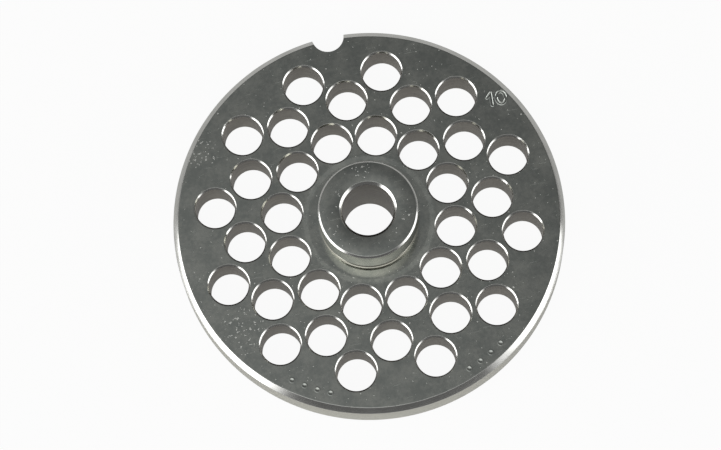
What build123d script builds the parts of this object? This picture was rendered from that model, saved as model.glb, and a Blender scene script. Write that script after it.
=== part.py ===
"""Meat grinder plate: one turned and drilled steel disc with a hub.

The plate lies on its flat knife face, hub up. The origin is the middle of the
knife face, +Z runs up the bore, and the key notch is on the +Y side. Angles
are counted from +X towards +Y.
"""
import os
from math import cos, radians, sin, sqrt

from build123d import *

# ---- driving dimensions (millimetres and degrees) ------------------------------

# disc
PLATE_DIAMETER = 99.0
PLATE_THICKNESS = 10.0
RIM_CHAMFER = 1.3           # at the top of the outer wall, all round
KNIFE_EDGE_BREAK = 0.2      # chamfer at the foot of the outer wall

# hub
HUB_HEIGHT = 11.3           # from the hub side of the disc to the top of the hub
COLLAR_DIAMETER = 25.1
COLLAR_HEIGHT = 9.0
COLLAR_CHAMFER = 0.5
COLLAR_FOOT_BREAK = 0.2     # small chamfer on the under edge of the collar
NECK_DIAMETER = 24.0
ROOT_RADIUS = 0.6           # hollow round where the neck meets the disc

# bore
BORE_DIAMETER = 13.0
BORE_CHAMFER = 0.7
BORE_KNIFE_CHAMFER = 0.4

# meat holes: rings of equal holes, drilled square to the knife face
HOLE_DIAMETER = 10.0
HOLE_CHAMFER = 0.4          # on the hub side only: the knife side stays sharp
HOLES_PER_RING = 12
INNER_RING_RADIUS = 22.0
MIDDLE_RING_STEP = 9.7      # from the inner ring's radius to the middle ring's
OUTER_RING_STEP = 7.3       # from the middle ring's radius to the outer ring's
FIRST_HOLE_ANGLE = 13.0     # a hole of the inner and the outer ring
RING_STAGGER = 15.0         # the middle ring is turned by this much

# key notch in the rim
NOTCH_RADIUS = 4.1
NOTCH_DEPTH = 4.2           # from the rim to the bottom of the notch
NOTCH_ANGLE = 90.0          # middle of the notch

# ---- values worked out from them -------------------------------------------------

CUT_OVERSHOOT = 1.0         # cutting tools run this far past a face
PLATE_RADIUS = PLATE_DIAMETER / 2
OVERALL_HEIGHT = PLATE_THICKNESS + HUB_HEIGHT
BORE_RADIUS = BORE_DIAMETER / 2
COLLAR_RADIUS = COLLAR_DIAMETER / 2
NECK_RADIUS = NECK_DIAMETER / 2
HOLE_RADIUS = HOLE_DIAMETER / 2
MIDDLE_RING_RADIUS = INNER_RING_RADIUS + MIDDLE_RING_STEP
OUTER_RING_RADIUS = MIDDLE_RING_RADIUS + OUTER_RING_STEP


def at_angle(radius, angle):
    """The point of the plate at this radius and angle from +X."""
    return (radius * cos(radians(angle)), radius * sin(radians(angle)))


def turned_blank():
    """The disc and its hub as one turned solid, bored through.

    The half section starts at the foot of the bore and goes round the outside:
    knife face, outer wall, rim chamfer, hub side, hollow root, neck, collar.
    """
    root_reach = 1 - 1 / sqrt(2)
    root_start = (NECK_RADIUS + ROOT_RADIUS, PLATE_THICKNESS)
    root_middle = (
        NECK_RADIUS + ROOT_RADIUS * root_reach,
        PLATE_THICKNESS + ROOT_RADIUS * root_reach,
    )
    root_end = (NECK_RADIUS, PLATE_THICKNESS + ROOT_RADIUS)

    collar_foot = OVERALL_HEIGHT - COLLAR_HEIGHT

    with BuildPart() as blank:
        with BuildSketch(Plane.XZ):
            with BuildLine():
                Polyline(
                    (BORE_RADIUS, BORE_KNIFE_CHAMFER),
                    (BORE_RADIUS + BORE_KNIFE_CHAMFER, 0),
                    (PLATE_RADIUS - KNIFE_EDGE_BREAK, 0),
                    (PLATE_RADIUS, KNIFE_EDGE_BREAK),
                    (PLATE_RADIUS, PLATE_THICKNESS - RIM_CHAMFER),
                    (PLATE_RADIUS - RIM_CHAMFER, PLATE_THICKNESS),
                    root_start,
                )
                ThreePointArc(root_start, root_middle, root_end)
                Polyline(
                    root_end,
                    (NECK_RADIUS, collar_foot),
                    (COLLAR_RADIUS - COLLAR_FOOT_BREAK, collar_foot),
                    (COLLAR_RADIUS, collar_foot + COLLAR_FOOT_BREAK),
                    (COLLAR_RADIUS, OVERALL_HEIGHT - COLLAR_CHAMFER),
                    (COLLAR_RADIUS - COLLAR_CHAMFER, OVERALL_HEIGHT),
                    (BORE_RADIUS + BORE_CHAMFER, OVERALL_HEIGHT),
                    (BORE_RADIUS, OVERALL_HEIGHT - BORE_CHAMFER),
                    (BORE_RADIUS, BORE_KNIFE_CHAMFER),
                )
            make_face()
        revolve(axis=Axis.Z)
    return blank.part


def hole_cutter():
    """One drill with the countersink that breaks the hole's edge on the hub side."""
    countersink = PLATE_THICKNESS - HOLE_CHAMFER
    with BuildPart() as cutter:
        with BuildSketch(Plane.XZ):
            Polygon(
                (0, -CUT_OVERSHOOT),
                (HOLE_RADIUS, -CUT_OVERSHOOT),
                (HOLE_RADIUS, countersink),
                (HOLE_RADIUS + HOLE_CHAMFER, PLATE_THICKNESS),
                (HOLE_RADIUS + HOLE_CHAMFER, PLATE_THICKNESS + CUT_OVERSHOOT),
                (0, PLATE_THICKNESS + CUT_OVERSHOOT),
                align=None,
            )
        revolve(axis=Axis.Z)
    return cutter.part


def hole_centres():
    """The middle of every meat hole, ring by ring, inner ring first."""
    rings = (
        (INNER_RING_RADIUS, FIRST_HOLE_ANGLE),
        (MIDDLE_RING_RADIUS, FIRST_HOLE_ANGLE + RING_STAGGER),
        (OUTER_RING_RADIUS, FIRST_HOLE_ANGLE),
    )
    step = 360 / HOLES_PER_RING
    return [
        at_angle(radius, first + step * number)
        for radius, first in rings
        for number in range(HOLES_PER_RING)
    ]


def notch_cutter():
    """The round-bottomed key notch, open to the outside of the rim."""
    middle = PLATE_RADIUS - NOTCH_DEPTH + NOTCH_RADIUS
    with BuildPart() as cutter:
        with BuildSketch(Plane.XY.offset(-CUT_OVERSHOOT)):
            with Locations(Location((0, 0, 0), (0, 0, NOTCH_ANGLE))):
                with Locations((middle, 0)):
                    Circle(NOTCH_RADIUS)
                    Rectangle(
                        2 * NOTCH_RADIUS,
                        2 * NOTCH_RADIUS,
                        align=(Align.MIN, Align.CENTER),
                    )
        extrude(amount=PLATE_THICKNESS + 2 * CUT_OVERSHOOT)
    return cutter.part


def grinder_plate():
    """The finished plate: turned blank, less its meat holes and its key notch."""
    drill = hole_cutter()
    drills = [drill.moved(Location((x, y, 0))) for x, y in hole_centres()]
    return turned_blank().cut(*drills).cut(notch_cutter())


os.makedirs("parts", exist_ok=True)
plate = Part(grinder_plate().wrapped)
plate.label = "grinder_plate"
export_step(plate, "parts/grinder_plate.step")
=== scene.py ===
# %% [markdown]
# # A meat grinder plate
#
# The perforated disc of a meat grinder is one piece of stainless steel. A worm pushes meat
# through its 36 holes, and a knife turns flat against its lower face. This lesson loads the
# plate's solid model as a fixed frame, makes a finer mesh of the same plate in numpy, gives
# each of its machined surfaces its own finish, and sets a small studio round it.

# %% load the frame
import math

import bmesh
import bpy
import numpy as np
from mathutils import Matrix, Vector
from mathutils.geometry import delaunay_2d_cdt


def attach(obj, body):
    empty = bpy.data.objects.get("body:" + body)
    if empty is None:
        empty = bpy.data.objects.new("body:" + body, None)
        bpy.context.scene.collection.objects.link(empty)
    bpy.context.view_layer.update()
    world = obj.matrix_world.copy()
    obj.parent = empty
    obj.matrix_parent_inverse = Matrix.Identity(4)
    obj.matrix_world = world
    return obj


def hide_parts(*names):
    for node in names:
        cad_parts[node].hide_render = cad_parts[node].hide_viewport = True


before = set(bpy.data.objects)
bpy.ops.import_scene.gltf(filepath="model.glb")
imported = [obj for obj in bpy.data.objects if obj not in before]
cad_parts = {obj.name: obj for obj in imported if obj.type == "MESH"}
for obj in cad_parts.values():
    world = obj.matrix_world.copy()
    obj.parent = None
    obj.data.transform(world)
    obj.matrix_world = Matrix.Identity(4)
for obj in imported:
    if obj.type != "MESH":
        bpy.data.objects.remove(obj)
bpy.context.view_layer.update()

# %% [markdown]
# ## The plate's sizes
#
# Sizes are written once, in millimetres as on a workshop drawing, and turned to metres as
# the last step of making a mesh. The plate stands on its knife face at z = 0, the bore is
# on the Z axis, and the notch that keeps the plate from turning points along +Y.

# %% sizes of the plate, in millimetres
MM = 0.001

RIM_R = 49.5
THICK = 10.0
RIM_CHAMFER = 1.3
KNIFE_BREAK = 0.2

HUB_HEIGHT = 11.3
HUB_TOP = THICK + HUB_HEIGHT
COLLAR_R = 12.55
COLLAR_HEIGHT = 9.0
COLLAR_FOOT = HUB_TOP - COLLAR_HEIGHT
COLLAR_CHAMFER = 0.5
COLLAR_FOOT_BREAK = 0.2
NECK_R = 12.0
ROOT_R = 0.6

BORE_R = 6.5
BORE_CHAMFER = 0.7
BORE_KNIFE_CHAMFER = 0.4

HOLE_R = 5.0
HOLE_CHAMFER = 0.4
HOLES_PER_RING = 12
HOLE_RINGS = [(22.0, 13.0), (31.7, 28.0), (39.0, 13.0)]  # radius, degrees of a first hole

NOTCH_R = 4.1
NOTCH_DEPTH = 4.2
NOTCH_MIDDLE = RIM_R - NOTCH_DEPTH + NOTCH_R


def ring_of_holes(radius, first):
    """Middles of a ring's holes: the point at radius and first degrees, turned in equal steps."""
    turn = np.radians(first + 360.0 / HOLES_PER_RING * np.arange(HOLES_PER_RING))
    return radius * np.stack([np.cos(turn), np.sin(turn)], 1)


holes = np.concatenate([ring_of_holes(*ring) for ring in HOLE_RINGS])
print("holes:", len(holes), "nearest to the rim, mm:", round(RIM_R - HOLE_R - np.hypot(*holes.T).max(), 2))

# %% [markdown]
# ## Profiles with softened corners
#
# Nearly every surface of this plate is a profile turned about an axis: the rim and hub
# about Z, each hole about its own middle. On real steel a corner is never perfectly sharp,
# and the tiny round left by polishing is what catches the light. So a profile is given as
# its corners, and a helper swaps each corner for a short arc.

# %% soften a profile's corners
def softened(corners, radii, steps=4):
    """Each inner corner of a line becomes an arc that touches both of its runs.

    The arc starts radius * tan(half the turning angle) before the corner. Its points are
    the arc's middle plus radius times the turned normal of the first run.
    """
    p = np.asarray(corners, float)
    r = np.asarray(radii, float)[:, None]
    a = p[1:-1] - p[:-2]
    b = p[2:] - p[1:-1]
    a = a / np.linalg.norm(a, axis=1, keepdims=True)
    b = b / np.linalg.norm(b, axis=1, keepdims=True)
    turn = np.arctan2(a[:, 0] * b[:, 1] - a[:, 1] * b[:, 0], (a * b).sum(1))[:, None]
    side = np.sign(turn) * np.stack([-a[:, 1], a[:, 0]], 1)
    middle = p[1:-1] - a * r * np.tan(np.abs(turn) / 2) + side * r
    sweep = turn * np.linspace(0, 1, steps + 1)
    c, s = np.cos(sweep), np.sin(sweep)
    arm = np.stack([-side[:, :1] * c + side[:, 1:] * s, -side[:, :1] * s - side[:, 1:] * c], 2)
    arcs = middle[:, None] + r[:, :, None] * arm
    return np.concatenate([p[:1], arcs.reshape(-1, 2), p[-1:]])


def turned(profile, angles, middle=(0.0, 0.0)):
    """A profile of (radius, height) carried round an upright axis at middle.

    A point is (middle x + radius * cos, middle y + radius * sin, height).
    """
    c, s = np.cos(angles), np.sin(angles)
    across = middle[0] + profile[:, :1] * c
    back = middle[1] + profile[:, :1] * s
    return np.stack([across, back, profile[:, 1:] * np.ones_like(angles)], 2)


corner = softened([(0, 0), (1, 0), (1, 1)], [0.5])
print("a softened corner:", corner.round(2).tolist())

# %% [markdown]
# ## Collecting patches
#
# The plate's mesh is put together from patches. Each patch is a grid of points, and each
# grid cell is a face. A patch also carries the number of its finish, because a ground
# face, a drilled wall and a turned side reflect light in quite different ways. The drilled
# walls' finish also carries painted shade, and the turned sides' finish a painted reflection.

# %% patches and their finishes
FINISHES = ["polished_land", "drilled_wall_painted_shade", "turned_side_painted_reflection", "bright_chamfer", "ground_knife_face"]
LAND, DRILLED_SHADED, TURNED_PAINTED_REFLECTION, CHAMFER, KNIFE = range(5)
patches = []


def grid_faces(rows, cols):
    """Corner numbers of every cell of a grid whose points are numbered row by row."""
    r, c = np.divmod(np.arange((rows - 1) * (cols - 1)), cols - 1)
    first = r * cols + c
    return np.stack([first, first + 1, first + cols + 1, first + cols], 1)


def add_grid(points, finish, flip=False):
    """Adds a grid of points as a patch. finish is one number, or one for each row of cells."""
    rows, cols = points.shape[:2]
    faces = grid_faces(rows, cols)
    finish = np.repeat(np.broadcast_to(finish, rows - 1), cols - 1)
    patches.append((points.reshape(-1, 3), faces[:, ::-1] if flip else faces, finish))


print("finishes:", ", ".join(FINISHES))

# %% [markdown]
# ## The 36 holes
#
# The holes are drilled right through. The side the meat comes from has a small chamfer,
# while the knife side stays sharp, because that edge does the cutting. One profile carried
# round each hole's middle gives wall, chamfer and a narrow strip of the flat land. That
# strip keeps the land's shading flat: a smooth normal mixes only with its neighbours.

# %% drill the holes
HOLE_STRIP = 5.5
hole_turn = np.linspace(0, 2 * np.pi, 73)
hole_profile = softened(
    [(HOLE_R, 0), (HOLE_R, THICK - HOLE_CHAMFER), (HOLE_R + HOLE_CHAMFER, THICK), (HOLE_STRIP, THICK)],
    [0.12, 0.06], steps=3)
hole_finish = np.array([DRILLED_SHADED] + [CHAMFER] * (len(hole_profile) - 3) + [LAND])
for middle in holes:
    add_grid(turned(hole_profile, hole_turn, middle), hole_finish, flip=True)
print("points in one hole:", hole_profile.shape[0] * hole_turn.size)

# %% [markdown]
# ## The hub
#
# The hub stands 11.3 mm above the land. A short neck rises from a small hollow root, and
# above it comes a tall collar, a little wider than the neck. The lathe breaks every edge
# with a narrow chamfer. The same profile comes down again inside as the bore.

# %% the profile of the hub and the bore
HUB_STRIP = NECK_R + ROOT_R + 0.4
root = np.linspace(0, np.pi / 2, 9)
hollow = np.stack([NECK_R + ROOT_R - ROOT_R * np.sin(root), THICK + ROOT_R - ROOT_R * np.cos(root)], 1)
collar = softened(
    [hollow[-1], (NECK_R, COLLAR_FOOT), (COLLAR_R - COLLAR_FOOT_BREAK, COLLAR_FOOT),
     (COLLAR_R, COLLAR_FOOT + COLLAR_FOOT_BREAK), (COLLAR_R, HUB_TOP - COLLAR_CHAMFER),
     (COLLAR_R - COLLAR_CHAMFER, HUB_TOP), (BORE_R + BORE_CHAMFER, HUB_TOP),
     (BORE_R, HUB_TOP - BORE_CHAMFER), (BORE_R, BORE_KNIFE_CHAMFER), (BORE_R + BORE_KNIFE_CHAMFER, 0)],
    [0.05, 0.08, 0.08, 0.15, 0.15, 0.1, 0.1, 0.05], steps=4)
hub_profile = np.concatenate([[(HUB_STRIP, THICK)], hollow[:-1], collar])
print("hub rows:", len(hub_profile), "height over the land, mm:", HUB_HEIGHT)

# %% [markdown]
# The hub's rows don't all shine alike. The strip of land and the hub's top are polished, the
# two chamfers at the top are bright, the outside is turned and the bore is drilled. The turned
# outside carries a painted reflection and the drilled bore painted shade. A row is told by the
# middle of its two ends. A softened corner reaches CORNER past its chamfer.

# %% turn the hub and the bore
CORNER = 0.05
hub_turn = np.linspace(0, 2 * np.pi, 193)
mid_r, mid_z = ((hub_profile[1:] + hub_profile[:-1]) / 2).T
outside = mid_r > NECK_R - 1.0
on_land = mid_r > NECK_R + ROOT_R
on_top = mid_z > HUB_TOP - 0.01
on_collar_chamfer = outside & (mid_z > HUB_TOP - COLLAR_CHAMFER - CORNER)
on_bore_chamfer = ~outside & (mid_z > HUB_TOP - BORE_CHAMFER - CORNER)
hub_finish = np.select(
    [on_land, on_top, on_collar_chamfer, on_bore_chamfer, outside],
    [LAND, LAND, CHAMFER, CHAMFER, TURNED_PAINTED_REFLECTION], DRILLED_SHADED)
add_grid(turned(hub_profile, hub_turn), hub_finish)
print("rows of each finish:", dict(zip(FINISHES, np.bincount(hub_finish, minlength=5).tolist())))

# %% [markdown]
# ## The stamped number
#
# The size of the holes is struck into the land with steel punches. A punch presses a
# V-shaped groove and pushes up a low burr on both sides. The height of the land is then a
# function of the distance to the strokes' middle lines: a groove close to the line, a bump
# just outside it, and nothing further off. Straight strokes use the distance to a segment,
# and the nought uses the distance to an ellipse.

# %% distances to the strokes
def from_segment(x, y, a, b):
    """Distance from points to the stretch from a to b: the place along it is clipped to 0..1."""
    (ax, ay), (bx, by) = a, b
    place = np.clip(((x - ax) * (bx - ax) + (y - ay) * (by - ay)) / ((bx - ax) ** 2 + (by - ay) ** 2), 0, 1)
    return np.hypot(x - ax - place * (bx - ax), y - ay - place * (by - ay))


def from_ellipse(x, y, middle, half_w, half_h):
    """Near distance to an ellipse: (its implicit radius less 1) over the length of that radius's slope."""
    tiny = 1e-9
    u, v = x - middle[0], y - middle[1]
    level = np.sqrt((u / half_w) ** 2 + (v / half_h) ** 2) + tiny
    slope = np.hypot(u / half_w ** 2, v / half_h ** 2) / level + tiny
    return np.abs(level - 1) / slope


print("from (1, 1) to the X axis:", from_segment(1.0, 1.0, (0, 0), (2, 0)))

# %% the number 10
STAMP_AT = math.radians(32.05)
STAMP_TURN = math.radians(9.0 - 12.5)
STAMP_RADIUS = 45.2
STAMP_MIDDLE = STAMP_RADIUS * np.array([math.cos(STAMP_AT), math.sin(STAMP_AT)])
STAMP_COS, STAMP_SIN = math.cos(STAMP_TURN), math.sin(STAMP_TURN)
ONE_TOP, ONE_FOOT, FLAG_END = (-1.15, 1.65), (-1.15, -1.6), (-2.2, 0.5)
NOUGHT = ((1.3, 0.05), 1.15, 1.6)
GROOVE, GROOVE_HALF = 0.16, 0.3
BURR, BURR_AT, BURR_WIDTH = 0.07, 0.36, 0.1
STAMP_REACH = 1.2


def stamp_height(x, y):
    """Height added to the land by the number, mm.

    With d the distance to a stroke, it is BURR * exp(-((d - BURR_AT) / BURR_WIDTH) squared)
    less GROOVE * (1 - d / GROOVE_HALF), which stops at 0.
    """
    dx, dy = x - STAMP_MIDDLE[0], y - STAMP_MIDDLE[1]
    u, v = dx * STAMP_COS + dy * STAMP_SIN, -dx * STAMP_SIN + dy * STAMP_COS
    stroke = np.minimum(from_segment(u, v, ONE_TOP, ONE_FOOT), from_segment(u, v, ONE_TOP, FLAG_END))
    stroke = np.minimum(stroke, from_ellipse(u, v, *NOUGHT))
    groove = np.clip(1 - stroke / GROOVE_HALF, 0, 1)
    burr = np.exp(-((stroke - BURR_AT) / BURR_WIDTH) ** 2)
    return np.where(stroke < STAMP_REACH, BURR * burr - GROOVE * groove, 0.0)


print("deepest, mm:", GROOVE, " burr, mm:", BURR)

# %% [markdown]
# Further round the land are two rows of four plain punch marks. Each is a small round dimple
# with a low ring pushed up round it, made in the same way from the distance to its middle.

# %% the punch marks
MARK_ROWS = [(-62.8, 45.8), (-121.0, 45.4)]  # degrees of the row's middle, radius
MARKS_IN_ROW = 4
MARK_STEP = 3.4
MARK_RADIUS = 0.5
MARK_DEPTH = 0.14
MARK_RING, MARK_RING_AT, MARK_RING_WIDTH = 0.4 * BURR, 0.05, 0.12
along_row = np.arange(MARKS_IN_ROW) - (MARKS_IN_ROW - 1) / 2
marks = np.array([[radius * math.cos(turn), radius * math.sin(turn)]
                  for middle, radius in MARK_ROWS
                  for turn in math.radians(middle) + MARK_STEP / radius * along_row])


def mark_height(x, y):
    """Height added round the punch marks, mm.

    A bowl of MARK_DEPTH * (1 - (distance / MARK_RADIUS) squared), in a low bell-shaped ring.
    """
    away = np.min(np.hypot(x[:, None] - marks[:, 0], y[:, None] - marks[:, 1]), 1)
    ring = MARK_RING * np.exp(-((away - MARK_RADIUS - MARK_RING_AT) / MARK_RING_WIDTH) ** 2)
    return ring - MARK_DEPTH * np.clip(1 - (away / MARK_RADIUS) ** 2, 0, 1)


print("punch marks:", len(marks))

# %% [markdown]
# ## The rim and the notch
#
# The rim is a turned profile too, but it stops at the notch. A row of the rim at distance
# rho from the axis meets the notch's circle at an angle that the cosine rule gives, so
# every row is spread between its own two limits. The columns are closer together near the
# stamped number, whose edge comes close to the chamfer.

# %% turn the rim, leaving the notch open
LAND_EDGE = RIM_R - RIM_CHAMFER - 0.3
rim_profile = softened(
    [(LAND_EDGE, THICK), (RIM_R - RIM_CHAMFER, THICK), (RIM_R, THICK - RIM_CHAMFER), (RIM_R, KNIFE_BREAK),
     (RIM_R - KNIFE_BREAK, 0)], [0.12, 0.15, 0.05], steps=4)


def notch_angle(rho):
    """Half the angle that the notch takes from a circle of radius rho, by the cosine rule.

    It is 0 where the two circles don't meet.
    """
    cos = (rho ** 2 + NOTCH_MIDDLE ** 2 - NOTCH_R ** 2) / (2 * rho * NOTCH_MIDDLE)
    return np.arccos(np.clip(cos, -1, 1))


even_columns = np.linspace(0, 1, 601)
stamp_columns = (np.radians(np.arange(27.0, 36.5, 0.07)) - np.pi / 2) % (2 * np.pi) / (2 * np.pi)
share = np.unique(np.concatenate([even_columns, stamp_columns]))
limit = notch_angle(rim_profile[:, 0])[:, None]
angle = np.pi / 2 + limit + share * (2 * np.pi - 2 * limit)
rho, z = rim_profile[:, :1], rim_profile[:, 1:]
rim_points = np.stack([rho * np.cos(angle), rho * np.sin(angle), z * np.ones_like(angle)], 2)

row_r, row_z = ((rim_profile[1:] + rim_profile[:-1]) / 2).T
rim_finish = np.select(
    [row_r < RIM_R - RIM_CHAMFER - 0.1, row_z > THICK - RIM_CHAMFER - CORNER], [LAND, CHAMFER], TURNED_PAINTED_REFLECTION)
rim_finish[-1] = CHAMFER
add_grid(rim_points, rim_finish, flip=True)
print("rim grid:", rim_points.shape[:2])

# %% [markdown]
# ## The notch's wall
#
# The notch is a plain milled cut, sharp at both faces. Its wall is a grid along the arc, as
# far as the flat land reaches. Beyond that the wall ends in the rim's own profile, so each
# side gets one flank: a face whose corners are the ends of the rim's rows.

# %% mill the notch
half_turn = math.acos((NOTCH_R ** 2 + NOTCH_MIDDLE ** 2 - LAND_EDGE ** 2) / (2 * NOTCH_R * NOTCH_MIDDLE))
notch_turn = np.linspace(half_turn, -half_turn, 45)
notch_line = np.stack([NOTCH_R * np.sin(notch_turn), NOTCH_MIDDLE - NOTCH_R * np.cos(notch_turn)], 1)
levels = [np.concatenate([notch_line, np.full((len(notch_line), 1), z)], 1) for z in (0.0, THICK)]
add_grid(np.stack(levels), TURNED_PAINTED_REFLECTION)
for end in (0, -1):
    flank = np.concatenate([rim_points[:, end], [[*rim_points[0, end, :2], 0.0]]])
    patches.append((flank, np.arange(len(flank))[None], np.array([TURNED_PAINTED_REFLECTION])))
print("notch columns:", len(notch_line), "deepest at y =", round(notch_line[:, 1].min(), 2), "mm")

# %% [markdown]
# ## The land and the knife face
#
# What is left are the two flat faces with all their openings. A Delaunay triangulation
# joins the edge points of the patches and a scatter of free points into even triangles.
# Triangles whose middle falls into a hole, the bore, the notch or outside the rim go.

# %% triangles between the openings
def loop_edges(count, start):
    """A closed loop's edges: each point to the next, and the last to the first."""
    first = np.arange(count)
    return np.stack([first, (first + 1) % count], 1) + start


def flat_face(loops, free, z, keep, finish, flip):
    """Delaunay triangles of loops and free points at height z, kept where keep(x, y) is true."""
    points = np.concatenate([*loops, free])
    starts = np.cumsum([0] + [len(loop) for loop in loops[:-1]])
    edges = np.concatenate([loop_edges(len(loop), start) for loop, start in zip(loops, starts)])
    flat, _, tris, *_ = delaunay_2d_cdt([Vector(p) for p in points.tolist()], edges.tolist(), [], 0, 1e-7)
    flat, tris = np.array([v[:] for v in flat]), np.array(tris)
    middle = flat[tris].mean(1)
    tris = tris[keep(middle[:, 0], middle[:, 1])]
    solid = np.concatenate([flat, np.full((len(flat), 1), z)], 1)
    patches.append((solid, tris[:, ::-1] if flip else tris, np.full(len(tris), finish)))
    return len(tris)


def on_metal(x, y, hole_edge, hub_edge, rim_edge):
    """True where a point lies outside the holes, the hub, the notch and inside the rim."""
    clear = np.min(np.hypot(x[:, None] - holes[:, 0], y[:, None] - holes[:, 1]), 1) > hole_edge
    away = np.hypot(x, y - NOTCH_MIDDLE) > NOTCH_R
    return clear & away & (np.hypot(x, y) > hub_edge) & (np.hypot(x, y) < rim_edge)


def circle(radius, angles):
    """A closed circle's points, (radius * cos, radius * sin), without the doubled last one."""
    return radius * np.stack([np.cos(angles[:-1]), np.sin(angles[:-1])], 1)


print("points in a hole's edge:", len(circle(HOLE_R, hole_turn)))

# %% [markdown]
# Away from the edges the free points are a square grid, made slightly wavy because an
# exact square leaves it open which way its diagonal runs. Under the number and the punch
# marks they are fine grids instead, so that the added heights can shape the land there.

# %% points inside the faces
GRID_STEP, WAVE, STAMP_STEP, MARK_GRID_STEP = 1.6, 0.25, 0.06, 0.12
step = np.arange(-48.0, 48.1, GRID_STEP)
scatter = np.stack(np.meshgrid(step, step), 2).reshape(-1, 2)
scatter = scatter + WAVE * np.sin(scatter[:, ::-1] * 7.0)

fine = np.arange(-3.3, 3.31, STAMP_STEP)
stamp_grid = np.stack(np.meshgrid(fine, fine[np.abs(fine) < 2.4]), 2).reshape(-1, 2)
stamp_grid = stamp_grid @ np.array([[STAMP_COS, STAMP_SIN], [-STAMP_SIN, STAMP_COS]]) + STAMP_MIDDLE
spot = np.arange(-0.84, 0.85, MARK_GRID_STEP)
mark_grid = (marks[:, None] + np.stack(np.meshgrid(spot, spot), 2).reshape(-1, 2)).reshape(-1, 2)

far_from_stamp = np.hypot(*(scatter - stamp_grid.mean(0)).T) > 4.6
far_from_marks = np.min(np.hypot(scatter[:, :1] - marks[:, 0], scatter[:, 1:] - marks[:, 1]), 1) > 1.3
land_points = np.concatenate([scatter[far_from_stamp & far_from_marks], stamp_grid, mark_grid])
print("free points of the land:", len(land_points))

# %% [markdown]
# A triangle is kept or dropped by its middle. A circle of points is really a polygon whose
# sides pass a little inside the circle, so each limit has some slack: enough to keep every
# triangle of the face, and too little for one made of three neighbouring points in a hole.

# %% lay the two flat faces
SLACK, HUB_SLACK, BORE_SLACK = 0.01, 0.003, 0.0015


def far_from_notch(points):
    """True where a point keeps 0.3 mm from the notch's wall."""
    return np.hypot(points[:, 0], points[:, 1] - NOTCH_MIDDLE) > NOTCH_R + 0.3


def kept_on_land(x, y):
    """True for a triangle of the land, by its middle."""
    return on_metal(x, y, HOLE_STRIP - SLACK, HUB_STRIP - HUB_SLACK, LAND_EDGE + SLACK)


def kept_on_knife_face(x, y):
    """True for a triangle of the knife face, by its middle."""
    bore_edge = BORE_R + BORE_KNIFE_CHAMFER - BORE_SLACK
    return on_metal(x, y, HOLE_R - SLACK, bore_edge, RIM_R - KNIFE_BREAK + SLACK)


land_points = land_points[on_metal(*land_points.T, HOLE_STRIP + 0.25, HUB_STRIP + 0.25, LAND_EDGE - 0.06)
                          & far_from_notch(land_points)]
land_loops = [np.concatenate([rim_points[0, :, :2], notch_line[1:-1]]), circle(HUB_STRIP, hub_turn)]
land_loops += [middle + circle(HOLE_STRIP, hole_turn) for middle in holes]
print("triangles of the land:", flat_face(land_loops, land_points, THICK, kept_on_land, LAND, False))

knife_points = scatter[on_metal(*scatter.T, HOLE_R + 0.3, BORE_R + 0.8, RIM_R - 0.6)
                       & far_from_notch(scatter)]
knife_loops = [np.concatenate([rim_points[-1, :, :2], notch_line]),
               circle(BORE_R + BORE_KNIFE_CHAMFER, hub_turn)]
knife_loops += [middle + circle(HOLE_R, hole_turn) for middle in holes]
print("triangles of the knife face:",
      flat_face(knife_loops, knife_points, 0.0, kept_on_knife_face, KNIFE, True))

# %% [markdown]
# ## One closed mesh
#
# All patches become one mesh. Points that patches share are merged, which closes the
# surface, and edges that turn by more than 35 degrees stay sharp while the rest shade
# smoothly. The heights of the number and the marks are added to the points of the land.

# %% build the plate's mesh
MERGE = 2e-6
SHARP = math.radians(35)


def joined(patches):
    """All patches as one set of points, one list of faces, and one finish number per face."""
    starts = np.cumsum([0] + [len(p[0]) for p in patches[:-1]])
    points = np.concatenate([p[0] for p in patches])
    faces = [f for p, start in zip(patches, starts) for f in (p[1] + start).tolist()]
    return points, faces, np.concatenate([p[2] for p in patches])


points, faces, finish = joined(patches)
upper = np.abs(points[:, 2] - THICK) < 0.01
points[upper, 2] += stamp_height(*points[upper, :2].T) + mark_height(*points[upper, :2].T)
mesh = bpy.data.meshes.new("grinder_plate_steel")
mesh.from_pydata((points * MM).tolist(), [], faces)
mesh.attributes.new("finish", "INT", "FACE").data.foreach_set("value", finish.astype(np.int32))
plate = bpy.data.objects.new("grinder_plate_steel", mesh)
bpy.context.scene.collection.objects.link(plate)

bm = bmesh.new()
bm.from_mesh(mesh)
bmesh.ops.remove_doubles(bm, verts=bm.verts, dist=MERGE)
bmesh.ops.recalc_face_normals(bm, faces=bm.faces)
open_edges = sum(not e.is_manifold for e in bm.edges)
volume = bm.calc_volume(signed=True)
bm.to_mesh(mesh)
bm.free()
mesh.shade_smooth()
mesh.set_sharp_from_angle(angle=SHARP)
print("triangles:", sum(len(p.vertices) - 2 for p in mesh.polygons), "open edges:", open_edges,
      "volume, mm3:", round(volume * 1e9, 1))

# %% [markdown]
# ## Shader maths
#
# A finish is worked out from numbers that change over the surface. A small class wraps a
# node's output and gives it the usual operators, so a mask can be written as a formula.

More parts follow.
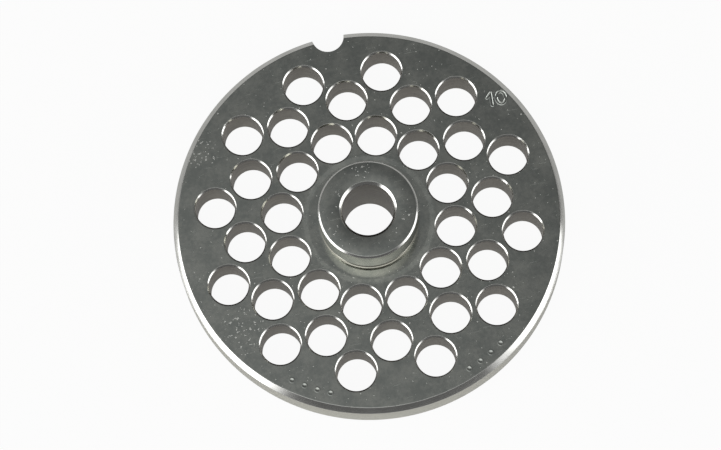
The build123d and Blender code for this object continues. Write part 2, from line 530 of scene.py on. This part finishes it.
# %% a socket that can be added and multiplied
class Value:
    """A number that changes over the surface; operators add Math nodes."""

    def __init__(self, nodes, socket):
        self.nodes = nodes
        self.socket = socket

    def maths(self, operation, *others):
        """A Math node on this value and the others."""
        return self.nodes.node("ShaderNodeMath", {"operation": operation}, [self, *others])

    def __add__(self, other):
        return self.maths("ADD", other)

    def __sub__(self, other):
        return self.maths("SUBTRACT", other)

    def __mul__(self, other):
        return self.maths("MULTIPLY", other)

    def __rsub__(self, other):
        return self.nodes.node("ShaderNodeMath", {"operation": "SUBTRACT"}, [other, self])

    __radd__, __rmul__ = __add__, __mul__

    def between(self, low, high):
        """0 below low, 1 above high, a smooth step from one to the other."""
        return self.nodes.node("ShaderNodeMapRange", {"interpolation_type": "SMOOTHSTEP"},
                               {"Value": self, "From Min": low, "From Max": high}, "Result")

    def band(self, start, full, fade, end):
        """1 from full to fade, 0 before start and after end, a smooth step on each side."""
        return self.between(start, full) * (1.0 - self.between(fade, end))


print("a value has + - * and", [name for name in vars(Value) if not name.startswith("_")])

# %% [markdown]
# A second class makes the nodes themselves. One method adds any node from its type, its
# settings and what goes into its sockets, and the others are short names for the few nodes
# that nearly every finish of this plate uses.

# %% the nodes of one material
class Nodes:
    """The nodes of one material or world."""

    def __init__(self, tree):
        self.tree = tree
        tree.nodes.clear()

    def node(self, kind, settings={}, values={}, output=0):
        """Adds a node: first its settings, then a value or a link for each socket."""
        new = self.tree.nodes.new(kind)
        for name, setting in settings.items():
            setattr(new, name, setting)
        for name, value in (values.items() if isinstance(values, dict) else enumerate(values)):
            if isinstance(value, Value):
                self.tree.links.new(value.socket, new.inputs[name])
            else:
                new.inputs[name].default_value = value
        return Value(self, new.outputs[output]) if new.outputs else None

    def place(self):
        """Object coordinates in metres."""
        return self.node("ShaderNodeTexCoord", output="Object")

    def vector(self, operation, a, b=(0, 0, 0), output="Value"):
        """A Vector Math node on a and b."""
        return self.node("ShaderNodeVectorMath", {"operation": operation}, {0: a, 1: b}, output)

    def flat(self, where):
        """The same place with its height set to 0."""
        return self.vector("MULTIPLY", where, (1, 1, 0), "Vector")

    def squeezed(self, where, scale, turn=0.0):
        """The place turned about Z and scaled, which draws a pattern out into lines."""
        values = {"Vector": where, "Rotation": (0, 0, turn), "Scale": scale}
        return self.node("ShaderNodeMapping", {}, values, "Vector")

    def noise(self, where, scale, detail, roughness):
        """Cloudy noise: scale per metre, number of finer layers, and how much they count."""
        values = {"Vector": where, "Scale": scale, "Detail": detail, "Roughness": roughness}
        return self.node("ShaderNodeTexNoise", {}, values, "Fac")

    def mix(self, factor, a, b):
        """From colour a to colour b by factor."""
        return self.node("ShaderNodeMix", {"data_type": "RGBA"}, {0: factor, 6: a, 7: b}, 2)

    def bump(self, height, strength):
        """A normal that follows a height of up to 0.2 mm."""
        values = {"Strength": strength, "Distance": 0.0002, "Height": height}
        return self.node("ShaderNodeBump", {}, values, "Normal")

    def steel_surface(self, colour, roughness, normal):
        """A Principled shader of bare metal."""
        values = {"Base Color": colour, "Roughness": roughness, "Normal": normal, "Metallic": 1.0}
        shader = self.node("ShaderNodeBsdfPrincipled", {}, values)
        self.node("ShaderNodeOutputMaterial", {}, {"Surface": shader})


def new_material(name):
    """An empty material of this name, with its nodes."""
    material = bpy.data.materials.new(name)
    material.use_nodes = True
    return material, Nodes(material.node_tree)


print("node helpers:", [name for name in vars(Nodes) if not name.startswith("_")])

# %% [markdown]
# ## Stainless steel
#
# Polished stainless steel is a metal with a grey of its own. Its gloss is never quite even:
# washing and handling leave cloudy patches, the meat and the ring nut leave hairlines, and
# knocks leave pits. A rough patch scatters light from all round, so on a polished face that
# mirrors something dark it looks lighter. Clouds and hairlines therefore work on the
# roughness, and only a little on the colour. The pits work on the roughness too, and their
# light colour is a painted glint.

# %% marks of use on the land
LAND_DARK = (0.365, 0.39, 0.367, 1)
LAND_LIGHT = (0.495, 0.513, 0.475, 1)
# The pits' light colour is a painted glint.
PIT_GLINT_COLOUR = (0.75, 0.76, 0.72, 1)
WORN_SPOTS = [  # x, y, radius
    (-37.6, 26.6, 6.0), (-36.8, -21.0, 7.5), (-46.8, 12.2, 1.2), (-45.0, -4.8, 1.6), (0.2, 9.5, 3.2),
    (-6.7, 5.5, 1.6), (8.5, -3.4, 2.0), (5.5, -6.7, 1.2), (-9.2, -3.2, 2.0)]
POLISH_RING = (15.0, 15.7, 16.3, 17.2)  # radii where the ring starts, is full, fades and ends

materials = {}
materials["polished_land"], n = new_material("polished_land")
where = n.place()
haze = n.noise(where, 55.0, 5.0, 0.65).between(0.42, 0.72)
clouds = n.noise(where, 230.0, 4.0, 0.7)
grain = n.noise(where, 1100.0, 2.0, 0.6)
hairlines = n.noise(n.squeezed(where, (1, 14, 1), turn=0.5), 190.0, 2.0, 0.4).between(0.70, 0.73)
worn = 0.0
for x, y, radius in WORN_SPOTS:
    away = n.vector("DISTANCE", n.flat(where), (x * MM, y * MM, 0))
    worn = (1.0 - away.between(radius * MM * 0.5, radius * MM)) + worn
pits_and_glints = (n.noise(where, 1500.0, 1.0, 0.5) + worn * 0.09).between(0.72, 0.76)
ring = n.vector("LENGTH", n.flat(where)).band(*[radius * MM for radius in POLISH_RING])
print("worn spots:", len(WORN_SPOTS))

# %% [markdown]
# The pits gather at a few worn spots, and a polishing tool that ran round the hub has left
# a faint ring. Together with the haze they make up the land's colour, its gloss and a very
# slight waviness of its surface, without which a mirror of steel looks like glass.

# %% the polished land
colour = n.mix((clouds * 0.7 + grain * 0.3).between(0.35, 0.65), LAND_DARK, LAND_LIGHT)
# The pits' light colour here is a painted glint; their roughness and dents are real.
colour = n.mix(pits_and_glints, colour, PIT_GLINT_COLOUR)
gloss = clouds * 0.10 + grain * 0.06 + haze * 0.09 + hairlines * 0.2 + ring * 0.18 + pits_and_glints * 0.45 + 0.02
waves = n.noise(where, 160.0, 3.0, 0.5) * 0.3 + grain * 0.05 - pits_and_glints * 0.2
n.steel_surface(colour, gloss, n.bump(waves, 0.2))
print("nodes of the land:", len(n.tree.nodes))

# %% [markdown]
# The other surfaces keep the marks of the tool that made them. A drill and a lathe leave
# fine lines round their axis, and a grinding wheel leaves straight ones. Noise that is
# squeezed across the lines draws them, and one function serves all four finishes.

# %% the drilled walls, turned sides, chamfers and knife face
STEELS = {  # darkest grey, lightest grey, roughness, squeeze across the lines, depth of the lines
    # The drilled walls' dark brownish greys are painted shade, standing in for the dark floor they mirror
    # inside the holes.
    "drilled_wall_painted_shade": ((0.20, 0.185, 0.16, 1), (0.34, 0.32, 0.28, 1), 0.3, (2, 2, 60), 0.25),
    # The turned sides' warm beige greys are a painted reflection of a lit table in front of the plate.
    "turned_side_painted_reflection": ((0.41, 0.405, 0.345, 1), (0.49, 0.48, 0.415, 1), 0.2, (2, 2, 60), 0.15),
    "bright_chamfer": ((0.5, 0.5, 0.48, 1), (0.58, 0.58, 0.56, 1), 0.14, (3, 3, 3), 0.05),
    "ground_knife_face": ((0.45, 0.45, 0.43, 1), (0.55, 0.55, 0.53, 1), 0.2, (40, 2, 2), 0.2),
}


def machined_steel(name, dark, light, rough, lines, depth):
    """Machined steel: a grey between dark and light by its tool marks and some cloudiness."""
    material, n = new_material(name)
    where = n.place()
    tool_marks = n.noise(n.squeezed(where, lines), 60.0, 4.0, 0.6)
    clouds = n.noise(where, 120.0, 3.0, 0.6)
    colour = n.mix((tool_marks * 0.6 + clouds * 0.4).between(0.35, 0.65), dark, light)
    n.steel_surface(colour, clouds * 0.1 + rough, n.bump(tool_marks, depth))
    return material


for name, looks in STEELS.items():
    materials[name] = machined_steel(name, *looks)
print("materials:", list(materials))

# %% [markdown]
# ## The plate in the frame
#
# Each face takes the material of its finish number. Then the mesh is told its place in the
# frame: it rides on the plate's body and stands in for the solid model.

# %% dress the plate
for name in FINISHES:
    mesh.materials.append(materials[name])
numbers = np.array([a.value for a in mesh.attributes["finish"].data], dtype=np.int32)
mesh.polygons.foreach_set("material_index", numbers)
mesh.attributes.remove(mesh.attributes["finish"])
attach(plate, "root")
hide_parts("grinder_plate")
print("finishes on the plate:", [m.name for m in mesh.materials])

# %% [markdown]
# ## The studio
#
# Polished metal shows its surroundings more than its own colour. The floor is white to look
# at, but dim in reflections, so the hole walls stay dark. Only a faint shadow shows on it.

# %% the floor
SPAN = 2.0
FLOOR_SEEN, FLOOR_MIRRORED = 0.94, 0.25
floor_mesh = bpy.data.meshes.new("floor")
floor_corners = [(-SPAN, -SPAN, 0), (SPAN, -SPAN, 0), (SPAN, SPAN, 0), (-SPAN, SPAN, 0)]
floor_mesh.from_pydata(floor_corners, [], [(0, 1, 2, 3)])
floor = bpy.data.objects.new("floor", floor_mesh)
bpy.context.scene.collection.objects.link(floor)
material, n = new_material("floor_white")
looked_at = n.node("ShaderNodeLightPath", output="Is Camera Ray")
seen_through = n.node("ShaderNodeLightPath", output="Is Transmission Ray")
mirrored = n.node("ShaderNodeLightPath", output="Is Glossy Ray")
seen = (looked_at.maths("MAXIMUM", seen_through) * FLOOR_SEEN).maths("MAXIMUM", mirrored * FLOOR_MIRRORED)
paper = n.node("ShaderNodeBsdfDiffuse", {}, {"Color": (0.9, 0.9, 0.88, 1)})
glow = n.node("ShaderNodeEmission", {}, {"Color": (1, 1, 1, 1), "Strength": 1.0})
both = n.node("ShaderNodeMixShader", {}, {0: seen, 1: paper, 2: glow})
n.node("ShaderNodeOutputMaterial", {}, {"Surface": both})
floor_mesh.materials.append(material)
print("floor, m:", 2 * SPAN)

# %% [markdown]
# The light is drawn on the world, as a function of the direction looked in. Two low, bright
# boxes stand left and right, with dark gaps in front and behind. The ceiling is bright
# towards the front and dim behind, with one soft lamp high on the left. The land mirrors
# the dim part and looks dark grey. Chamfers and softened edges lean towards the boxes and
# turn white, except where they face a gap.

# %% the light round the plate
TURN = math.radians(-12.5)
LEFT_BOX = (-102, -96, -46, -30)   # degrees round from the front: start, full, fade, end
RIGHT_BOX = (42, 66, 97, 103)
BOX_HEIGHT = (-0.5, 1.0, 18, 26)   # degrees up
front = (math.sin(TURN), -math.cos(TURN), 0.0)
side = (math.cos(TURN), math.sin(TURN), 0.0)
lamp = Vector(front) * 0.25 - Vector(side) * 0.35 + Vector((0, 0, 0.9))

world = bpy.data.worlds.new("studio")
bpy.context.scene.world = world
world.use_nodes = True
n = Nodes(world.node_tree)
way = n.node("ShaderNodeTexCoord", output="Generated")
up = n.vector("DOT_PRODUCT", way, (0, 0, 1))
forward = n.vector("DOT_PRODUCT", way, front)
right = n.vector("DOT_PRODUCT", way, side)
to_lamp = n.vector("DOT_PRODUCT", way, tuple(lamp.normalized()))
round_about = right.maths("ARCTAN2", forward) * math.degrees(1)
height = up.maths("ARCSINE") * math.degrees(1)
boxes = height.band(*BOX_HEIGHT) * (round_about.band(*LEFT_BOX) + round_about.band(*RIGHT_BOX) * 0.75)
ceiling = forward.between(-0.14, 0.3) * height.between(25, 55)
level = boxes * 4.0 + ceiling * 0.78 + to_lamp.between(0.77, 0.96) * 0.38 + 0.17
sky = n.node("ShaderNodeBackground", {}, {"Color": (1, 1, 1, 1), "Strength": level})
n.node("ShaderNodeOutputWorld", {}, {"Surface": sky})
print("front of the studio:", [round(v, 2) for v in front])

# %% [markdown]
# ## The camera
#
# A long lens looks down steeply from the front, so the disc is only a little flattened. The
# camera stands a little to the right and is rolled back by the same angle, so the rows of
# holes stay where they are while everything upright leans to the left.

# %% the camera
PICTURE_WIDTH = 721   # pixels
FOCAL = 3500.0        # pixels
SCALE = 3.92          # pixels for a millimetre of the plate
LOOK_DOWN = math.radians(76.5)
LEAN = math.radians(6.0)
AIM = (-9.3 / SCALE, 3.9 / SCALE)   # mm right of the origin and above it, as seen
stand = TURN + LEAN
distance = FOCAL / SCALE
ahead = Vector((-math.sin(stand) * math.cos(LOOK_DOWN), math.cos(stand) * math.cos(LOOK_DOWN),
                -math.sin(LOOK_DOWN)))
level_right = Vector((math.cos(stand), math.sin(stand), 0))
level_top = level_right.cross(ahead)
to_right = level_right * math.cos(LEAN) - level_top * math.sin(LEAN)
to_top = level_right * math.sin(LEAN) + level_top * math.cos(LEAN)

lens = bpy.data.cameras.new("camera")
lens.sensor_width = 36.0
lens.lens = FOCAL * lens.sensor_width / PICTURE_WIDTH
lens.clip_end = 50.0
camera = bpy.data.objects.new("camera", lens)
facing = Matrix((to_right, to_top, -ahead)).transposed()
eye = (to_right * AIM[0] + to_top * AIM[1] - ahead * distance) * MM
camera.matrix_world = Matrix.Translation(eye) @ facing.to_4x4()
bpy.context.scene.collection.objects.link(camera)
bpy.context.scene.camera = camera
bpy.context.scene.view_settings.view_transform = "Standard"
print("lens, mm:", round(lens.lens, 1), " distance, mm:", round(distance))

# %% [markdown]
# ## The end
